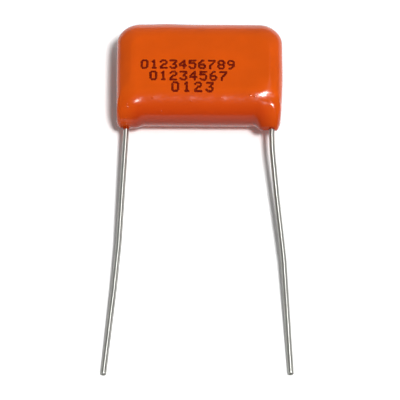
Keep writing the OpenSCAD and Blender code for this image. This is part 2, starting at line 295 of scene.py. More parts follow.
def ring_samples():
    """Where each sample of a ring lies: fraction across, fraction up and angle of its corner.

    A corner sweeps the angle at a fixed centre, and a straight moves the
    centre at a fixed angle, so all eight stretches share one formula.
    """
    turn = math.pi / 2
    heel = open_ramp(-1.0, 1.0, HEEL_SAMPLES)
    heel = heel + HEEL_CROWDING * np.sin(math.pi * heel)
    stretches = [
        (1.0, open_ramp(0.0, 1.0, SIDE_SAMPLES), 0.0),
        (1.0, 1.0, open_ramp(0.0, turn, CORNER_SAMPLES)),
        (open_ramp(1.0, -1.0, CROWN_SAMPLES), 1.0, turn),
        (-1.0, 1.0, open_ramp(turn, 2 * turn, CORNER_SAMPLES)),
        (-1.0, open_ramp(1.0, 0.0, SIDE_SAMPLES), 2 * turn),
        (-1.0, 0.0, open_ramp(2 * turn, 3 * turn, CORNER_SAMPLES)),
        (heel, 0.0, 3 * turn),
        (1.0, 0.0, open_ramp(3 * turn, 4 * turn, CORNER_SAMPLES)),
    ]
    rows = [np.stack(np.broadcast_arrays(*s)) for s in stretches]
    return np.concatenate(rows, axis=1)


def bell(v, middle, fade):
    """1 in the middle, falling as exp(-(distance / fade)^2)."""
    return np.exp(-((v - middle) / fade) ** 2)


def leg_drop(x, z, coat, leg, lead):
    """How far the lower edge is drawn down at each point.

    Each leg is its full length beyond full_x and eases over the slope to the
    slightly raised edge between them.  In height it fades as
    exp(-(distance to the wire / fade)^2).
    """
    across = smoothstep((np.abs(x) - leg.full_x + leg.slope) / leg.slope)
    left = leg.left_drop * bell(z, lead.left_start[2], leg.fade)
    right = leg.right_drop * bell(z, lead.right_start[2], leg.fade)
    rise = leg.rise * bell(z, coat.thickness * RISE_PLACE, leg.fade * RISE_FADE)
    return across * np.where(x < 0, left, right) - (1 - across) * rise


def inset_at(q, width, full, slope=None):
    """Inset width (1 - (1 - q^full)^(1/slope)) at height q: 0 is mid thickness, 1 the flat face."""
    return width * (1 - np.clip(1 - q ** full, 0, 1) ** (1 / (slope or full)))


def shaped_rings(inset_x, inset_left, inset_y, z, coat, leg, lead):
    """Points of the rings at each inset and height.

    The plan of a ring is a rectangle with rounded corners, set in from the
    outline, on the left side by an inset of its own.  Its sides belly out as
    a cosine of the height and the right one is drawn in towards its lower
    corner.  The crown has one soft swelling, all edges fall slightly to the
    right, and the lower edge is drawn down into the legs.
    """
    cx, up, angle = ring_samples()[:, None, :]
    inset_y, z = inset_y[:, None], z[:, None]
    k = inset_y / coat.rim_border
    w = coat.width / 2 - np.where(cx < 0, inset_left[:, None], inset_x[:, None])
    h = coat.height / 2 - inset_y
    crown = coat.crown_radius + (coat.face_radius - coat.crown_radius) * k
    heel = coat.heel_radius + (coat.face_radius - coat.heel_radius) * k
    r = heel + (crown - heel) * up
    x = cx * (w - r) + r * np.cos(angle)
    y = (heel - h) + ((h - crown) - (heel - h)) * up + r * np.sin(angle)
    half_w, half_h = coat.width / 2, coat.height / 2
    x = x * (1 + coat.belly / half_w * np.cos(BELLY_TURN * y / half_h))
    swell = coat.swell_rise * bell(x, coat.swell_x, coat.swell_width)
    swell = swell * np.clip(y / half_h, 0, 1)
    tuck = coat.right_tuck * np.clip(x / half_w, 0, 1) * np.clip(-y / half_h, 0, 1) ** 2
    lowness = np.where(up == 0, np.sin(angle) ** 2, 0.0)
    z = np.broadcast_to(z, x.shape)
    y = y + swell - coat.edge_fall * x / coat.width
    y = y - lowness * leg_drop(x, z, coat, leg, lead)
    return np.stack([x - tuck, y, z], axis=-1)


def ripple(points, depth, seed=11):
    """Slow waves about one and a half depths: a mean of eight sines along random directions."""
    rng = np.random.default_rng(seed)
    direction = rng.normal(size=(8, 3))
    direction /= np.linalg.norm(direction, axis=1)[:, None]
    length = rng.uniform(1.6 * MM, 5.5 * MM, 8)
    phase = rng.uniform(0, 2 * math.pi, 8)
    wave = np.sin(points @ (direction / length[:, None]).T * 2 * math.pi + phase)
    return depth * (1.5 + wave.mean(axis=-1))


# Runs of the dip on the front: x, y, half width, half length and height in millimetres.
# The first five were placed one by one.  The last three were not: a separate search program tried many
# and kept those whose highlight fell best, so they describe no measured form.
RUNS = np.array([
    (-10.3, -7.3, 1.0, 0.8, 0.125),
    (-7.1, -5.9, 0.8, 1.0, 0.03),
    (-1.8, -6.4, 0.9, 0.8, 0.03),
    (3.4, -6.2, 0.7, 0.7, 0.035),
    (8.95, 3.75, 0.45, 0.3, -0.02),
    (7.91, -5.04, 0.99, 0.87, 0.04),
    (9.78, -3.90, 2.78, 2.94, 0.096),
    (10.93, -6.29, 1.8, 0.63, -0.236),
])
# Height at which the runs begin, and the height over which they reach their full size.
RUNS_FROM = 5.0 * MM
RUNS_GROW = 1.5 * MM


def runs(points):
    """Small soft swellings and hollows: a sum of bells, none below RUNS_FROM."""
    x, y, wide, long, high = (RUNS * MM).T
    dx = (points[..., 0, None] - x) / wide
    dy = (points[..., 1, None] - y) / long
    front = smoothstep((points[..., 2] - RUNS_FROM) / RUNS_GROW)
    return front * (high * np.exp(-dx ** 2 - dy ** 2)).sum(axis=-1)


def grid_normals(p):
    """Unit normals of a grid of points, closed round its second axis."""
    round_ring = np.roll(p, -1, axis=1) - np.roll(p, 1, axis=1)
    up_rings = np.gradient(p, axis=0)
    n = np.cross(round_ring, up_rings)
    return n / np.maximum(np.linalg.norm(n, axis=-1, keepdims=True), 1e-12)


def shrunk_rings(ring, scale):
    """Copies of a ring at its own height, each scaled towards the middle by one of the scales."""
    return ring * np.stack([scale, scale, np.ones_like(scale)], -1)[:, None, :]


def coating_grid(coat, leg, lead):
    """The whole coating as rings from the middle of the back to the middle of the front.

    The border runs from rim to rim: at height q of half the thickness the
    inset is border (1 - (1 - q^full)^(1/slope)).  The back is flat; the
    front rises by dome (1 - (x/w)^2) (1 - (y/h)^2).
    """
    half_t = (coat.thickness - coat.dome) / 2
    a = np.linspace(-math.pi / 2, math.pi / 2, BORDER_RINGS)
    q = np.abs(np.sin(a)) ** RING_CROWDING
    border = shaped_rings(inset_at(q, coat.side_border, coat.side_full, coat.side_slope),
                          inset_at(q, coat.left_border, coat.left_full, coat.left_slope),
                          inset_at(q, coat.rim_border, coat.rim_full),
                          half_t * (1 + np.sign(a) * q), coat, leg, lead)
    back = shrunk_rings(border[:1], np.linspace(0, 1, BACK_RINGS + 1)[1:-1])
    front = shrunk_rings(border[-1:], np.linspace(1, 0, FACE_RINGS + 1)[1:-1])
    w = coat.width / 2 - coat.side_border
    h = coat.height / 2 - coat.rim_border
    lift = coat.dome * (1 - np.clip(front[..., 0] / w, -1, 1) ** 2)
    lift = lift * (1 - np.clip(front[..., 1] / h, -1, 1) ** 2)
    front[..., 2] += lift
    return np.concatenate([back, border, front])


def coating_piece(coat, leg, lead):
    """The coating: its grid, moved along its normals by ripple and runs, and closed by two poles."""
    p = coating_grid(coat, leg, lead)
    keep_flat = smoothstep(p[..., 2] / RIPPLE_GROW)
    p = p + grid_normals(p) * (runs(p) - keep_flat * ripple(p, coat.ripple))[..., None]
    return closed_surface("coating_skin", p, p[0].mean(axis=0), p[-1].mean(axis=0))


COLLAR_RINGS = 20
COLLAR_SIDES = 48


def collar_piece(name, x, z, drop, coat, leg, lead):
    """A thin collar round a wire: radius falls as (1 - t)^2 from foot to lip, then turns in."""
    foot, grow, lip, lip_turn = 0.75 * MM, 0.26 * MM, 0.05 * MM, 0.03 * MM
    pinhole = 0.0005 * MM
    t = np.linspace(0, 1, COLLAR_RINGS)
    radius = lead.diameter / 2 + lip + (grow - lip) * (1 - t) ** 2
    along = (foot + leg.collar) * t
    radius = np.concatenate([[pinhole], radius, [lead.diameter / 2 * 0.9]])
    along = np.concatenate([[0.0], along, [foot + leg.collar - lip_turn]])
    turn = open_ramp(0, 2 * math.pi, COLLAR_SIDES)
    ring = np.stack([np.cos(turn), np.zeros_like(turn), np.sin(turn)], -1)
    p = radius[:, None, None] * ring[None]
    p = p + np.stack([np.full_like(along, x),
                      foot - coat.height / 2 - drop - along,
                      np.full_like(along, z)], -1)[:, None, :]
    return closed_surface(name, p, p[0].mean(axis=0), p[-1].mean(axis=0))


# ------------------------------------------------------------------- wires
WIRE_SIDES = 56
BEND_STEPS = 10
# A wire stops this many bevels short of the end of its route, to stay inside the solid.
END_PULL = 1.04
# How far slow waves thin the wire, and its radius at the cut end, as shares of its radius.
WIRE_WAVES = 0.006
END_RADIUS = 0.992
# Painted shade on the five rings of the cut end, from its edge to the bottom of the pit, darkest in the
# pit.
CUT_PAINTED_SHADE = (0.6, 0.62, 0.75, 1.0, 1.0)


def heading(side, splay, droop):
    """Unit direction of a run that leans outward by splay and down by droop, in degrees."""
    a, b = math.radians(splay), math.radians(droop)
    return np.array([side * math.sin(a), -math.cos(a) * math.cos(b), -math.cos(a) * math.sin(b)])


def wire_route(side, start, first, runs, splay, droop, lead):
    """Corner points and directions of a wire; the last run is aimed at the resting plane."""
    directions = [np.array([0.0, -1.0, 0.0])]
    directions += [heading(side, s, d) for s, d in zip(splay, droop)]
    height = start[2] + sum(r * d[2] for r, d in zip(runs, directions[1:]))
    fall = height - lead.diameter / 2 - lead.tip_rise
    last = math.degrees(math.asin(fall / (runs[-1] * math.cos(math.radians(splay[-1])))))
    directions.append(heading(side, splay[-1], last))
    lengths = [first, *runs]
    steps = np.array(lengths)[:, None] * np.array(directions)
    corners = np.concatenate([[start], np.array(start) + np.cumsum(steps, axis=0)])
    return corners, directions


def centreline(corners, directions, lead, step=0.25 * MM):
    """Points along a wire: straight runs joined by arcs that touch both runs."""
    stretches = []
    begin = corners[0]
    for i in range(1, len(directions)):
        d, e = directions[i - 1], directions[i]
        radius = lead.first_bend if i == 1 else lead.bend
        angle = math.acos(min(float(d @ e), 1.0))
        back = radius * math.tan(angle / 2)
        toward = (e - (d @ e) * d) / math.sin(angle)
        end = corners[i] - back * d
        stretches.append(straight(begin, end, step))
        turn = open_ramp(0, angle, BEND_STEPS)[:, None]
        stretches.append(end + radius * (np.sin(turn) * d + (1 - np.cos(turn)) * toward))
        begin = corners[i] + back * e
    end = corners[-1] - END_PULL * lead.bevel * directions[-1]
    stretches.append(straight(begin, end, step))
    stretches.append(end[None])
    return np.concatenate(stretches)


def straight(a, b, step):
    """Evenly spaced points from a up to, but not including, b."""
    count = max(int(np.linalg.norm(b - a) / step), 2)
    return a + (b - a) * open_ramp(0, 1, count)[:, None]


def wire_piece(name, side, start, first, runs, splay, droop, lead, seed):
    """A tinned wire: a circle carried along its route, with a bevel and a pit at the cut end.

    The radius sinks by up to WIRE_WAVES in slow waves, where the tin is thin.
    Its attribute of painted shade rises from 0 on top to 0.7 on the flanks, which it darkens for their dark
    reflections, and to 1 in the pit.
    """
    corners, directions = wire_route(side, start, first, runs, splay, droop, lead)
    line = centreline(corners, directions, lead)
    tangent = np.gradient(line, axis=0)
    tangent /= np.linalg.norm(tangent, axis=1)[:, None]
    across = np.cross(tangent, [0.0, 0.0, 1.0])
    across /= np.linalg.norm(across, axis=1)[:, None]
    up = np.cross(across, tangent)
    turn = open_ramp(0, 2 * math.pi, WIRE_SIDES)
    radius = lead.diameter / 2
    rng = np.random.default_rng(seed)
    s = np.linspace(0, 1, len(line))
    waves = sum(np.sin(2 * math.pi * (f * s + p))
                for f, p in zip(rng.uniform(3, 40, 6), rng.uniform(0, 1, 6)))
    r = radius * (1 - WIRE_WAVES * (0.5 + waves / 12))
    r[-3:] = END_RADIUS * radius
    circle = (np.cos(turn)[None, :, None] * across[:, None, :]
              + np.sin(turn)[None, :, None] * up[:, None, :])
    tube = line[:, None, :] + r[:, None, None] * circle
    cut_r = np.array([radius - lead.bevel, 0.78 * radius, 0.55 * radius, 0.3 * radius, 0.08 * radius])
    cut_in = np.array([lead.bevel, lead.bevel - 0.01 * MM, lead.bevel - 0.4 * lead.pit,
                       lead.bevel - 0.9 * lead.pit, lead.bevel - lead.pit])
    wobble = 1 + 0.08 * np.sin(3 * turn + seed)
    shape = np.where(cut_r[:, None] < 0.7 * radius, wobble[None, :], 1.0)
    cut = (line[-1] + cut_in[:, None, None] * directions[-1]
           + (cut_r[:, None] * shape)[:, :, None] * circle[-1][None])
    wire = closed_surface(name, np.concatenate([tube, cut]), line[0], cut[-1].mean(axis=0))
    lay_grain(wire)
    # Painted shade on the flanks, standing in for their dark reflections.
    flank = 0.7 * smoothstep((np.abs(np.cos(turn)) - 0.7) / 0.25)
    painted_tin_shade = np.concatenate([np.tile(flank, (len(tube), 1)),
                              np.repeat(np.array([CUT_PAINTED_SHADE]).T, WIRE_SIDES, axis=1)])
    painted_tin_shade = np.concatenate([painted_tin_shade.ravel(), [0.0, 1.0]])
    wire.data.attributes.new("painted_tin_shade", "FLOAT", "POINT").data.foreach_set("value", painted_tin_shade)
    return wire


def lay_grain(obj):
    """A UV map whose U runs along the part's Y and V across it, so that gloss follows the wire."""
    mesh = obj.data
    corner = np.empty(len(mesh.loops), np.int32)
    mesh.loops.foreach_get("vertex_index", corner)
    co = np.empty(len(mesh.vertices) * 3, np.float32)
    mesh.vertices.foreach_get("co", co)
    co = co.reshape(-1, 3)[corner]
    uv = np.stack([co[:, 1], co[:, 0] + co[:, 2]], axis=-1)
    mesh.uv_layers.new(name="grain").data.foreach_set("uv", uv.ravel())


# ------------------------------------------------------------------- print
COLUMN = 0.215 * MM
FIGURE_COLUMNS = 5
FIGURE_ROWS = 7
DOT_SIDES = 8
# How far a dot strays from its place, and how much the rows fall to the right.
DOT_STRAY = 0.012 * MM
ROW_TILT = 0.013

FIGURES = {
    "0": ("01110", "10001", "10001", "10001", "10001", "10001", "01110"),
    "1": ("00100", "01100", "00100", "00100", "00100", "00100", "01110"),
    "2": ("01110", "10001", "00001", "00110", "01000", "10000", "11111"),
    "3": ("11111", "00001", "00010", "00110", "00001", "10001", "01110"),
    "4": ("00010", "00110", "01010", "10010", "11111", "00010", "00010"),
    "5": ("11111", "10000", "11110", "00001", "00001", "10001", "01110"),
    "6": ("00110", "01000", "10000", "11110", "10001", "10001", "01110"),
    "7": ("11111", "00001", "00010", "00100", "01000", "01000", "01000"),
    "8": ("01110", "10001", "10001", "01110", "10001", "10001", "01110"),
    "9": ("01110", "10001", "10001", "01111", "00001", "00010", "01100"),
}


def front_height(x, y, coat):
    """Height of the front at x, y: the border outside the rim, the dome inside it."""
    half_t = (coat.thickness - coat.dome) / 2
    w = coat.width / 2 - coat.side_border
    h = coat.height / 2 - coat.rim_border
    side = np.clip((np.abs(x) - w) / coat.side_border, 0, 1)
    rim = np.clip((np.abs(y) - h) / coat.rim_border, 0, 1)
    fall = np.minimum((1 - side ** coat.side_slope) ** (1 / coat.side_full),
                      (1 - rim ** coat.rim_full) ** (1 / coat.rim_full))
    height = half_t * (1 + fall)
    lift = np.clip(1 - (x / w) ** 2, 0, 1) * np.clip(1 - (y / h) ** 2, 0, 1)
    return height + coat.dome * lift


def figure_dots(text, left, right, top, bottom):
    """Dot centres of a row of figures between its left and right and its top and bottom."""
    pitch = (right - left - FIGURE_COLUMNS * COLUMN) / (len(text) - 1)
    row = (top - bottom) / FIGURE_ROWS
    spots = np.array([(i * pitch + c * COLUMN, -r * row)
                      for i, ch in enumerate(text)
                      for r, line in enumerate(FIGURES[ch])
                      for c, on in enumerate(line) if on == "1"])
    x = left + COLUMN / 2 + spots[:, 0]
    y = top - row / 2 + spots[:, 1] - ROW_TILT * (x - left)
    return x, y


def print_piece(name, text, left, right, top, bottom, coat, ink, seed):
    """A row of printed dots: each is a flat lens of eight sides that sits on the coating."""
    x, y = figure_dots(text, left, right, top, bottom)
    rng = np.random.default_rng(seed)
    x = x + rng.normal(0, DOT_STRAY, len(x))
    y = y + rng.normal(0, DOT_STRAY, len(y))
    r = ink.dot / 2 * rng.uniform(0.9, 1.08, len(x))
    turn = open_ramp(0, 2 * math.pi, DOT_SIDES)
    rim_x = x[:, None] + r[:, None] * np.cos(turn)
    rim_y = y[:, None] + r[:, None] * np.sin(turn)
    rim = np.stack([rim_x, rim_y, front_height(rim_x, rim_y, coat)], -1)
    middle = front_height(x, y, coat)
    rim[..., 2] -= 2 * ink.relief
    top_pole = np.stack([x, y, middle - ink.relief], -1)[:, None]
    low_pole = np.stack([x, y, middle - 4 * ink.relief], -1)[:, None]
    points = np.concatenate([rim, top_pole, low_pole], axis=1)
    base = np.arange(len(x))[:, None] * (DOT_SIDES + 2)
    i = np.arange(DOT_SIDES)
    a, b = base + i, base + (i + 1) % DOT_SIDES
    top_tri = np.stack([a, b, np.broadcast_to(base + DOT_SIDES, a.shape)], -1)
    low_tri = np.stack([b, a, np.broadcast_to(base + DOT_SIDES + 1, a.shape)], -1)
    tris = np.concatenate([top_tri.reshape(-1, 3), low_tri.reshape(-1, 3)])
    return build_mesh(name, points.reshape(-1, 3), np.zeros((0, 4), int), tris)


# --------------------------------------------------------------- materials
def new_group(name, inputs, outputs):
    """An empty shader group with named sockets; sockets are (name, type, default)."""
    group = bpy.data.node_groups.new(name, "ShaderNodeTree")
    for label, kind, value in inputs:
        socket = group.interface.new_socket(name=label, in_out="INPUT", socket_type=kind)
        if value is not None:
            socket.default_value = value
    for label, kind in outputs:
        group.interface.new_socket(name=label, in_out="OUTPUT", socket_type=kind)
    return group


def add(tree, kind, **settings):
    """A new node with these settings."""
    node = tree.nodes.new(kind)
    for key, value in settings.items():
        setattr(node, key, value)
    return node


def math_node(tree, operation, a, b):
    """A Math node whose inputs are each a socket or a number."""
    node = add(tree, "ShaderNodeMath", operation=operation)
    for k, value in enumerate((a, b)):
        if isinstance(value, (int, float)):
            node.inputs[k].default_value = value
        else:
            tree.links.new(value, node.inputs[k])
    return node.outputs[0]


def noise(tree, vector, scale, detail=2.0, roughness=0.5):
    """Values of a noise whose scale is a socket or a number."""
    node = add(tree, "ShaderNodeTexNoise")
    tree.links.new(vector, node.inputs["Vector"])
    if isinstance(scale, (int, float)):
        node.inputs["Scale"].default_value = scale
    else:
        tree.links.new(scale, node.inputs["Scale"])
    node.inputs["Detail"].default_value = detail
    node.inputs["Roughness"].default_value = roughness
    return node.outputs["Fac"]


def ramp(tree, value, low, high):
    """Maps low..high to 0..1, clamped."""
    node = add(tree, "ShaderNodeMapRange")
    tree.links.new(value, node.inputs["Value"])
    node.inputs["From Min"].default_value = low
    node.inputs["From Max"].default_value = high
    return node.outputs["Result"]


def fine_unevenness_group():
    """Fine unevenness that every finish shares: a bump height and a roughness mask."""
    group = new_group(
        "fine_unevenness",
        [("Vector", "NodeSocketVector", None), ("Coarse Scale", "NodeSocketFloat", 900.0),
         ("Fine Scale", "NodeSocketFloat", 5000.0), ("Fine Share", "NodeSocketFloat", 0.3)],
        [("Height", "NodeSocketFloat"), ("Mask", "NodeSocketFloat")])
    inside = add(group, "NodeGroupInput")
    outside = add(group, "NodeGroupOutput")
    coarse = noise(group, inside.outputs["Vector"], inside.outputs["Coarse Scale"], 2.0)
    fine = noise(group, inside.outputs["Vector"], inside.outputs["Fine Scale"], 3.0, 0.6)
    fine_part = math_node(group, "MULTIPLY", fine, inside.outputs["Fine Share"])
    height = math_node(group, "ADD", coarse, fine_part)
    group.links.new(height, outside.inputs["Height"])
    group.links.new(ramp(group, fine, 0.42, 0.62), outside.inputs["Mask"])
    return group


def place_group(tree, group, vector, **values):
    """A shader group in a material, with this material's own values."""
    node = add(tree, "ShaderNodeGroup", node_tree=group)
    tree.links.new(vector, node.inputs["Vector"])
    for key, value in values.items():
        node.inputs[key.replace("_", " ")].default_value = value
    return node


def new_material(name):
    """A material with a Principled shader; returns it with its tree, shader and Object coordinates."""
    material = bpy.data.materials.new(name)
    material.use_nodes = True
    tree = material.node_tree
    shader = tree.nodes["Principled BSDF"]
    coords = add(tree, "ShaderNodeTexCoord").outputs["Object"]
    return material, tree, shader, coords


def mix_colour(tree, factor, a, b, blend="MIX"):
    """Colour a blended with b; factor, a and b are each a socket or a plain value."""
    node = add(tree, "ShaderNodeMix", data_type="RGBA", blend_type=blend)
    if isinstance(factor, (int, float)):
        node.inputs["Factor"].default_value = factor
    else:
        tree.links.new(factor, node.inputs["Factor"])
    for socket, value in ((node.inputs[6], a), (node.inputs[7], b)):
        if isinstance(value, (tuple, list)):
            socket.default_value = (*value[:3], 1.0)
        else:
            tree.links.new(value, socket)
    return node.outputs[2]


def vary_roughness(tree, shader, mask, smooth, rough):
    """Roughness from smooth, where the mask is 0, to rough, where it is 1."""
    spread = add(tree, "ShaderNodeMapRange")
    tree.links.new(mask, spread.inputs["Value"])
    spread.inputs["To Min"].default_value = smooth
    spread.inputs["To Max"].default_value = rough
    tree.links.new(spread.outputs["Result"], shader.inputs["Roughness"])


def dot(tree, vector, direction):
    """Dot product of a vector socket with a direction."""
    node = add(tree, "ShaderNodeVectorMath", operation="DOT_PRODUCT")
    tree.links.new(vector, node.inputs[0])
    node.inputs[1].default_value = direction.normalized()
    return node.outputs["Value"]


def add_bump(tree, shader, height, distance):
    """Feeds the shader's normal from a height, of which 1 stands for the distance."""
    bump = add(tree, "ShaderNodeBump")
    bump.inputs["Distance"].default_value = distance
    tree.links.new(height, bump.inputs["Height"])
    tree.links.new(bump.outputs["Normal"], shader.inputs["Normal"])


# Specks in the coating: place on the front and radius in millimetres.
# Each stands SPECK_HEIGHT times as high as the orange peel.
SPECK_HEIGHT = 6.0
SPECKS = (
    ((-11.05, -7.32, 6.9), 0.20), ((-10.9, -7.62, 6.6), 0.16), ((-11.4, -8.75, 4.9), 0.16),
    ((-7.2, -6.45, 7.5), 0.16), ((-5.8, -7.95, 6.2), 0.14), ((-1.3, -6.95, 7.25), 0.16),
    ((7.7, -6.1, 7.65), 0.18), ((8.35, -6.25, 7.6), 0.16), ((3.2, -6.4, 7.5), 0.14),
)


def speck_group():
    """A round speck: its height falls smoothly from 1 at its place to 0 at its radius.

    Distances along Z count for a seventh only.
    """
    group = new_group(
        "speck",
        [("Vector", "NodeSocketVector", None), ("Place", "NodeSocketVector", None),
         ("Radius", "NodeSocketFloat", 0.2 * MM)],
        [("Height", "NodeSocketFloat")])
    inside = add(group, "NodeGroupInput")
    outside = add(group, "NodeGroupOutput")
    apart = add(group, "ShaderNodeVectorMath", operation="SUBTRACT")
    group.links.new(inside.outputs["Vector"], apart.inputs[0])
    group.links.new(inside.outputs["Place"], apart.inputs[1])
    squash = add(group, "ShaderNodeVectorMath", operation="MULTIPLY")
    group.links.new(apart.outputs["Vector"], squash.inputs[0])
    squash.inputs[1].default_value = (1.0, 1.0, 0.14)
    away = add(group, "ShaderNodeVectorMath", operation="LENGTH")
    group.links.new(squash.outputs["Vector"], away.inputs[0])
    fall = add(group, "ShaderNodeMapRange", interpolation_type="SMOOTHSTEP")
    group.links.new(away.outputs["Value"], fall.inputs["Value"])
    group.links.new(inside.outputs["Radius"], fall.inputs["From Min"])
    fall.inputs["From Max"].default_value = 0.0
    group.links.new(fall.outputs["Result"], outside.inputs["Height"])
    return group


def epoxy_material(name, base, low, painted_under_shade, fine_group, speck):
    """Glossy dipped epoxy: a strong colour with faint clouds and orange peel, and painted shade on its left
    side, its lower edge and under that edge.
    """
    material, tree, shader, coords = new_material(name)
    darker = tuple(c * 0.93 for c in base)
    lighter = tuple(min(c * 1.03, 1.0) for c in base)
    clouds = ramp(tree, noise(tree, coords, 160.0, 3.0), 0.35, 0.65)
    colour = mix_colour(tree, clouds, darker, lighter)
    axes = add(tree, "ShaderNodeSeparateXYZ")
    tree.links.new(coords, axes.inputs["Vector"])
    # Painted shade: the left side is darkened towards its edge.
    painted_left_shade = ramp(tree, axes.outputs["X"], -9.6 * MM, -11.0 * MM)
    colour = mix_colour(tree, painted_left_shade, colour, (0.88, 0.88, 0.88), "MULTIPLY")
    sideways = math_node(tree, "ABSOLUTE", axes.outputs["X"], 0.0)
    between_legs = math_node(tree, "SUBTRACT", 1.0, math_node(
        tree, "MULTIPLY", ramp(tree, sideways, 9.4 * MM, 11.2 * MM), 0.6))
    # Painted shade: the lower edge is darkened, less so over the legs.
    down = math_node(tree, "MULTIPLY", ramp(tree, axes.outputs["Y"], -5.2 * MM, -8.2 * MM), between_legs)
    colour = mix_colour(tree, down, colour, low)
    # Painted shade: darker still under the lower edge, low down in height.
    under = math_node(tree, "MULTIPLY", ramp(tree, axes.outputs["Y"], -7.6 * MM, -8.6 * MM),
                      ramp(tree, axes.outputs["Z"], 6.2 * MM, 4.2 * MM))
    under = math_node(tree, "MULTIPLY", under, between_legs)
    colour = mix_colour(tree, under, colour, painted_under_shade)
    tree.links.new(colour, shader.inputs["Base Color"])
    fine = place_group(tree, fine_group, coords, Coarse_Scale=620.0, Fine_Scale=2600.0, Fine_Share=0.25)
    vary_roughness(tree, shader, fine.outputs["Mask"], 0.13, 0.19)
    shader.inputs["IOR"].default_value = 1.38
    height = fine.outputs["Height"]
    for place, radius in SPECKS:
        node = place_group(tree, speck, coords, Place=Vector(place) * MM, Radius=radius * MM)
        height = math_node(tree, "ADD", height, math_node(
            tree, "MULTIPLY", node.outputs["Height"], SPECK_HEIGHT))
    add_bump(tree, shader, height, 0.012 * MM)
    return material


def ink_material(colours, fine_group):
    """Printed ink: dark and slightly matt, thinner in places so that the epoxy warms it."""
    material, tree, shader, coords = new_material("printed_ink")
    thin = ramp(tree, noise(tree, coords, 3500.0, 2.0), 0.35, 0.7)
    warm = tuple(0.75 * i + 0.25 * e for i, e in zip(colours.ink, colours.epoxy))
    colour = mix_colour(tree, thin, tuple(colours.ink), warm)
    tree.links.new(colour, shader.inputs["Base Color"])
    shader.inputs["Roughness"].default_value = 0.6
    shader.inputs["Specular IOR Level"].default_value = 0.08
    fine = place_group(tree, fine_group, coords, Coarse_Scale=4000.0, Fine_Scale=9000.0)
    add_bump(tree, shader, fine.outputs["Height"], 0.004 * MM)
    return material


def tin_material(colours, fine_group):
    """Tinned wire: bright metal with a soft grain and faint greyer patches, and painted shade that darkens
    its flanks and its cut end.
    """
    material, tree, shader, coords = new_material("tinned_wire_and_painted_shade")
    stretch = add(tree, "ShaderNodeMapping")
    stretch.inputs["Scale"].default_value = (1.0, 0.06, 1.0)
    tree.links.new(coords, stretch.inputs["Vector"])
    streaks = ramp(tree, noise(tree, stretch.outputs["Vector"], 9000.0, 3.0), 0.3, 0.7)
    patches = ramp(tree, noise(tree, coords, 420.0, 3.0), 0.45, 0.7)
    base = tuple(colours.tin)
    grey = tuple(c * 0.8 for c in base)
    colour = mix_colour(tree, streaks, grey, base)
    colour = mix_colour(tree, patches, colour, tuple(c * 0.86 for c in base))
    # Painted shade: flanks darkened for their reflections, cut ends darkened into the pit.
    painted_tin_shade = add(tree, "ShaderNodeAttribute", attribute_name="painted_tin_shade").outputs["Fac"]
    colour = mix_colour(tree, painted_tin_shade, colour, tuple(colours.painted_tin_shade))
    tree.links.new(colour, shader.inputs["Base Color"])
    shader.inputs["Metallic"].default_value = 1.0
    fine = place_group(tree, fine_group, stretch.outputs["Vector"], Coarse_Scale=3000.0, Fine_Scale=12000.0)
    vary_roughness(tree, shader, fine.outputs["Mask"], 0.40, 0.48)
    shader.inputs["Anisotropic"].default_value = 0.92
    grain = add(tree, "ShaderNodeTangent", direction_type="UV_MAP", uv_map="grain")
    tree.links.new(grain.outputs["Tangent"], shader.inputs["Tangent"])
    add_bump(tree, shader, fine.outputs["Height"], 0.004 * MM)
    return material


def metal_material(name, colour, dark, scale, roughness, fine_group, distance):
    """Dull metal inside the coating: grains of two greys with an uneven surface."""
    material, tree, shader, coords = new_material(name)
    grains = ramp(tree, noise(tree, coords, scale, 4.0), 0.35, 0.65)
    tree.links.new(mix_colour(tree, grains, dark, colour), shader.inputs["Base Color"])
    shader.inputs["Metallic"].default_value = 1.0
    shader.inputs["Roughness"].default_value = roughness
    fine = place_group(tree, fine_group, coords, Coarse_Scale=scale, Fine_Scale=scale * 4)
    add_bump(tree, shader, fine.outputs["Height"], distance)
    return material


def roll_material(fine_group):
    """The pressed roll: pale film over bright foil, with fine lines along its turns."""
    material, tree, shader, coords = new_material("film_roll")
    squash = add(tree, "ShaderNodeMapping")
    squash.inputs["Scale"].default_value = (0.02, 1.0, 1.0)
    tree.links.new(coords, squash.inputs["Vector"])
    lines = ramp(tree, noise(tree, squash.outputs["Vector"], 4000.0, 2.0), 0.3, 0.7)
    colour = mix_colour(tree, lines, (0.62, 0.60, 0.54), (0.80, 0.78, 0.72))
    tree.links.new(colour, shader.inputs["Base Color"])
    shader.inputs["Metallic"].default_value = 0.35
    shader.inputs["Roughness"].default_value = 0.28
    fine = place_group(tree, fine_group, coords, Coarse_Scale=700.0, Fine_Scale=3000.0)
    add_bump(tree, shader, fine.outputs["Height"], 0.02 * MM)
    return material


MATERIALS = {}


def materials():
    """All finishes, made once and shared by the operators."""
    if not MATERIALS:
        colours = bpy.context.scene.capacitor_colours
        group = fine_unevenness_group()
        speck = speck_group()
        # The lower and under colours are painted shade.
        low, painted_under_shade = tuple(colours.epoxy_low_painted_shade), tuple(colours.epoxy_under_painted_shade)
        MATERIALS["epoxy"] = epoxy_material(
            "dipped_epoxy_and_painted_shade", tuple(colours.epoxy), low, painted_under_shade, group, speck)
        # The collars are coloured all over with the painted shade from under the lower edge.
        MATERIALS["collar"] = epoxy_material("collar_painted_shade", painted_under_shade, painted_under_shade, painted_under_shade, group, speck)
        MATERIALS["ink"] = ink_material(colours, group)
        MATERIALS["tin"] = tin_material(colours, group)
        MATERIALS["roll"] = roll_material(group)
        MATERIALS["end"] = metal_material(
            "sprayed_end_metal", (0.50, 0.51, 0.53), (0.32, 0.33, 0.35), 2200.0, 0.62, group, 0.03 * MM)
        MATERIALS["solder"] = metal_material(
            "satin_solder", (0.66, 0.66, 0.68), (0.50, 0.50, 0.52), 900.0, 0.34, group, 0.015 * MM)
    return MATERIALS


def dress(obj, material):
    """The object with this material as its only one."""
    obj.data.materials.clear()
    obj.data.materials.append(material)
    return obj


